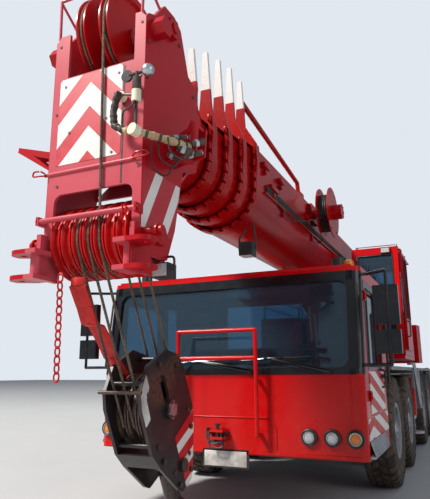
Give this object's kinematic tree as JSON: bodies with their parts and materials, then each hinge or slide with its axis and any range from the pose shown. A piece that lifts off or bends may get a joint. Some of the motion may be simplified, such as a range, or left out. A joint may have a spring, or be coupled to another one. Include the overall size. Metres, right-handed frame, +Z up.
{
  "type": "mobile crane",
  "caption": "All-terrain mobile crane with a telescopic boom laid forward over the carrier cab and its hook block tied back.",
  "frame": {"origin": "on the ground, in the middle of the parked crane's bounding box", "axes": "+Z up, the crane faces -Y, +X is the crane's left side"},
  "size_m": [3.66, 13.065, 4.7028],
  "materials": {
    "tyre": "matt black tread rubber",
    "rim_grey": "silver grey paint",
    "glass": "lightly tinted",
    "block_black": "worn black paint, brown at the edges",
    "engine_grey": "grey",
    "chassis_dark": "dark red satin paint, dusty",
    "crane_red": "gloss red paint",
    "rod_chrome": "polished",
    "rope_steel": "greased wire rope",
    "interior": "dark trim and cloth",
    "black_plastic": "black plastic",
    "lamp": "lamp lenses in housings",
    "leg_grey": "bright steel with scratches"
  },
  "bodies": {
    "carrier": {"carrier_frame": "chassis_dark", "axle_beams": "chassis_dark", "carrier_engine": "engine_grey", "carrier_deck": "crane_red", "cab_shell": "crane_red", "cab_glass": "glass", "cab_interior": "interior", "cab_guard": "crane_red", "mirrors": "black_plastic", "lamps": "lamp"},
    "door_left": {"door_left": "crane_red"},
    "door_right": {"door_right": "crane_red"},
    "superstructure": {"turntable": "crane_red", "counterweight": "crane_red", "crane_cab_shell": "crane_red", "crane_cab_glass": "glass", "crane_cab_seat": "interior"},
    "hoist_winch": {"hoist_winch": "crane_red"},
    "crane_cab_door": {"crane_cab_door": "crane_red"},
    "luff_barrel": {"luff_barrel": "crane_red"},
    "luff_rod": {"luff_rod": "rod_chrome"},
    "boom_base": {"boom_base": "crane_red"},
    "boom_section_1": {"boom_section_1": "crane_red"},
    "boom_section_2": {"boom_section_2": "crane_red"},
    "boom_section_3": {"boom_section_3": "crane_red"},
    "boom_section_4": {"boom_section_4": "crane_red"},
    "boom_tip": {"boom_section_5": "crane_red", "boom_head": "crane_red", "head_sheaves": "crane_red"},
    "falls": {"hoist_ropes": "rope_steel", "hook_block": "block_black"},
    "hook": {"hook": "block_black"},
    "knuckle_1l": {"knuckle_1l": "chassis_dark"},
    "knuckle_1r": {"knuckle_1r": "chassis_dark"},
    "knuckle_2l": {"knuckle_2l": "chassis_dark"},
    "knuckle_2r": {"knuckle_2r": "chassis_dark"},
    "wheel_1l": {"tyre_1l": "tyre", "rim_1l": "rim_grey"},
    "wheel_1r": {"tyre_1r": "tyre", "rim_1r": "rim_grey"},
    "wheel_2l": {"tyre_2l": "tyre", "rim_2l": "rim_grey"},
    "wheel_2r": {"tyre_2r": "tyre", "rim_2r": "rim_grey"},
    "wheel_3l": {"tyre_3l": "tyre", "rim_3l": "rim_grey"},
    "wheel_3r": {"tyre_3r": "tyre", "rim_3r": "rim_grey"},
    "wheel_4l": {"tyre_4l": "tyre", "rim_4l": "rim_grey"},
    "wheel_4r": {"tyre_4r": "tyre", "rim_4r": "rim_grey"},
    "outrigger_beam_fl": {"outrigger_beam_fl": "crane_red"},
    "outrigger_leg_fl": {"outrigger_leg_fl": "leg_grey"},
    "outrigger_beam_fr": {"outrigger_beam_fr": "crane_red"},
    "outrigger_leg_fr": {"outrigger_leg_fr": "leg_grey"},
    "outrigger_beam_rl": {"outrigger_beam_rl": "crane_red"},
    "outrigger_leg_rl": {"outrigger_leg_rl": "leg_grey"},
    "outrigger_beam_rr": {"outrigger_beam_rr": "crane_red"},
    "outrigger_leg_rr": {"outrigger_leg_rr": "leg_grey"}
  },
  "joints": [
    {"name": "steer_1l", "type": "hinge", "parent": "carrier", "child": "knuckle_1l", "pos_m": [0.95, -1.713, 0.685], "axis": [0, 0, 1], "range_deg": [-35, 35]},
    {"name": "steer_1r", "type": "hinge", "parent": "carrier", "child": "knuckle_1r", "pos_m": [-0.95, -1.713, 0.685], "axis": [0, 0, 1], "range_deg": [-35, 35]},
    {"name": "steer_2l", "type": "hinge", "parent": "carrier", "child": "knuckle_2l", "pos_m": [0.95, -0.063, 0.685], "axis": [0, 0, 1], "range_deg": [-27, 27]},
    {"name": "steer_2r", "type": "hinge", "parent": "carrier", "child": "knuckle_2r", "pos_m": [-0.95, -0.063, 0.685], "axis": [0, 0, 1], "range_deg": [-27, 27]},
    {"name": "wheel_1l", "type": "hinge", "parent": "knuckle_1l", "child": "wheel_1l", "pos_m": [1.275, -1.713, 0.685], "axis": [1, 0, 0], "continuous": true},
    {"name": "wheel_1r", "type": "hinge", "parent": "knuckle_1r", "child": "wheel_1r", "pos_m": [-1.275, -1.713, 0.685], "axis": [1, 0, 0], "continuous": true},
    {"name": "wheel_2l", "type": "hinge", "parent": "knuckle_2l", "child": "wheel_2l", "pos_m": [1.275, -0.063, 0.685], "axis": [1, 0, 0], "continuous": true},
    {"name": "wheel_2r", "type": "hinge", "parent": "knuckle_2r", "child": "wheel_2r", "pos_m": [-1.275, -0.063, 0.685], "axis": [1, 0, 0], "continuous": true},
    {"name": "wheel_3l", "type": "hinge", "parent": "carrier", "child": "wheel_3l", "pos_m": [1.275, 2.837, 0.685], "axis": [1, 0, 0], "continuous": true},
    {"name": "wheel_3r", "type": "hinge", "parent": "carrier", "child": "wheel_3r", "pos_m": [-1.275, 2.837, 0.685], "axis": [1, 0, 0], "continuous": true},
    {"name": "wheel_4l", "type": "hinge", "parent": "carrier", "child": "wheel_4l", "pos_m": [1.275, 4.487, 0.685], "axis": [1, 0, 0], "continuous": true},
    {"name": "wheel_4r", "type": "hinge", "parent": "carrier", "child": "wheel_4r", "pos_m": [-1.275, 4.487, 0.685], "axis": [1, 0, 0], "continuous": true},
    {"name": "door_left_hinge", "type": "hinge", "parent": "carrier", "child": "door_left", "pos_m": [1.486, -3.859, 1.675], "axis": [0, 0, -1], "range_deg": [0, 70]},
    {"name": "door_right_hinge", "type": "hinge", "parent": "carrier", "child": "door_right", "pos_m": [-1.486, -3.859, 1.675], "axis": [0, 0, 1], "range_deg": [0, 70]},
    {"name": "outrigger_fl_out", "type": "slide", "parent": "carrier", "child": "outrigger_beam_fl", "axis": [1, 0, 0], "range_m": [0, 1.9]},
    {"name": "outrigger_fl_down", "type": "slide", "parent": "outrigger_beam_fl", "child": "outrigger_leg_fl", "axis": [0, 0, -1], "range_m": [0, 0.45]},
    {"name": "outrigger_fr_out", "type": "slide", "parent": "carrier", "child": "outrigger_beam_fr", "axis": [-1, 0, 0], "range_m": [0, 1.9]},
    {"name": "outrigger_fr_down", "type": "slide", "parent": "outrigger_beam_fr", "child": "outrigger_leg_fr", "axis": [0, 0, -1], "range_m": [0, 0.45]},
    {"name": "outrigger_rl_out", "type": "slide", "parent": "carrier", "child": "outrigger_beam_rl", "axis": [1, 0, 0], "range_m": [0, 1.9]},
    {"name": "outrigger_rl_down", "type": "slide", "parent": "outrigger_beam_rl", "child": "outrigger_leg_rl", "axis": [0, 0, -1], "range_m": [0, 0.45]},
    {"name": "outrigger_rr_out", "type": "slide", "parent": "carrier", "child": "outrigger_beam_rr", "axis": [-1, 0, 0], "range_m": [0, 1.9]},
    {"name": "outrigger_rr_down", "type": "slide", "parent": "outrigger_beam_rr", "child": "outrigger_leg_rr", "axis": [0, 0, -1], "range_m": [0, 0.45]},
    {"name": "slew", "type": "hinge", "parent": "carrier", "child": "superstructure", "pos_m": [0, 2.087, 1.54], "axis": [0, 0, 1], "continuous": true},
    {"name": "hoist_winch_turn", "type": "hinge", "parent": "superstructure", "child": "hoist_winch", "pos_m": [0, 3.837, 2.23], "axis": [1, 0, 0], "continuous": true},
    {"name": "crane_cab_door_slide", "type": "slide", "parent": "superstructure", "child": "crane_cab_door", "axis": [0, 1, 0], "range_m": [0, 0.6]},
    {"name": "boom_luff", "type": "hinge", "parent": "superstructure", "child": "boom_base", "pos_m": [0, 4.337, 3.38], "axis": [-1, 0, 0], "range_deg": [0, 75]},
    {"name": "luff_barrel_tilt", "type": "hinge", "parent": "superstructure", "child": "luff_barrel", "pos_m": [0, 2.337, 1.815], "axis": [-1, 0, 0], "range_deg": [0, 74.35]},
    {"name": "luff_rod_slide", "type": "slide", "parent": "luff_barrel", "child": "luff_rod", "axis": [0, -0.957, 0.29], "range_m": [0, 3.0925]},
    {"name": "telescope_1", "type": "slide", "parent": "boom_base", "child": "boom_section_1", "axis": [0, -1, 0], "range_m": [0, 7]},
    {"name": "telescope_2", "type": "slide", "parent": "boom_section_1", "child": "boom_section_2", "axis": [0, -1, 0], "range_m": [0, 7]},
    {"name": "telescope_3", "type": "slide", "parent": "boom_section_2", "child": "boom_section_3", "axis": [0, -1, 0], "range_m": [0, 7]},
    {"name": "telescope_4", "type": "slide", "parent": "boom_section_3", "child": "boom_section_4", "axis": [0, -1, 0], "range_m": [0, 7]},
    {"name": "telescope_5", "type": "slide", "parent": "boom_section_4", "child": "boom_tip", "axis": [0, -1, 0], "range_m": [0, 7]},
    {"name": "falls_swing", "type": "hinge", "parent": "boom_tip", "child": "falls", "pos_m": [0, -6.103, 2.39], "axis": [1, 0, 0], "range_deg": [0, 48.1]},
    {"name": "hook_swivel", "type": "hinge", "parent": "falls", "child": "hook", "pos_m": [0, -5.46741, 1.14259], "axis": [0, 0.454, -0.891], "continuous": true}
  ],
  "couplings": [
    {"joint": "steer_1r", "follows": "steer_1l", "ratio": 1},
    {"joint": "steer_2l", "follows": "steer_1l", "ratio": 0.75},
    {"joint": "steer_2r", "follows": "steer_1l", "ratio": 0.75},
    {"joint": "luff_barrel_tilt", "follows": "boom_luff", "ratio": 0.98472},
    {"joint": "luff_rod_slide", "follows": "boom_luff", "m_per_rad": 2.361},
    {"joint": "falls_swing", "follows": "boom_luff", "ratio": 0.64}
  ]
}
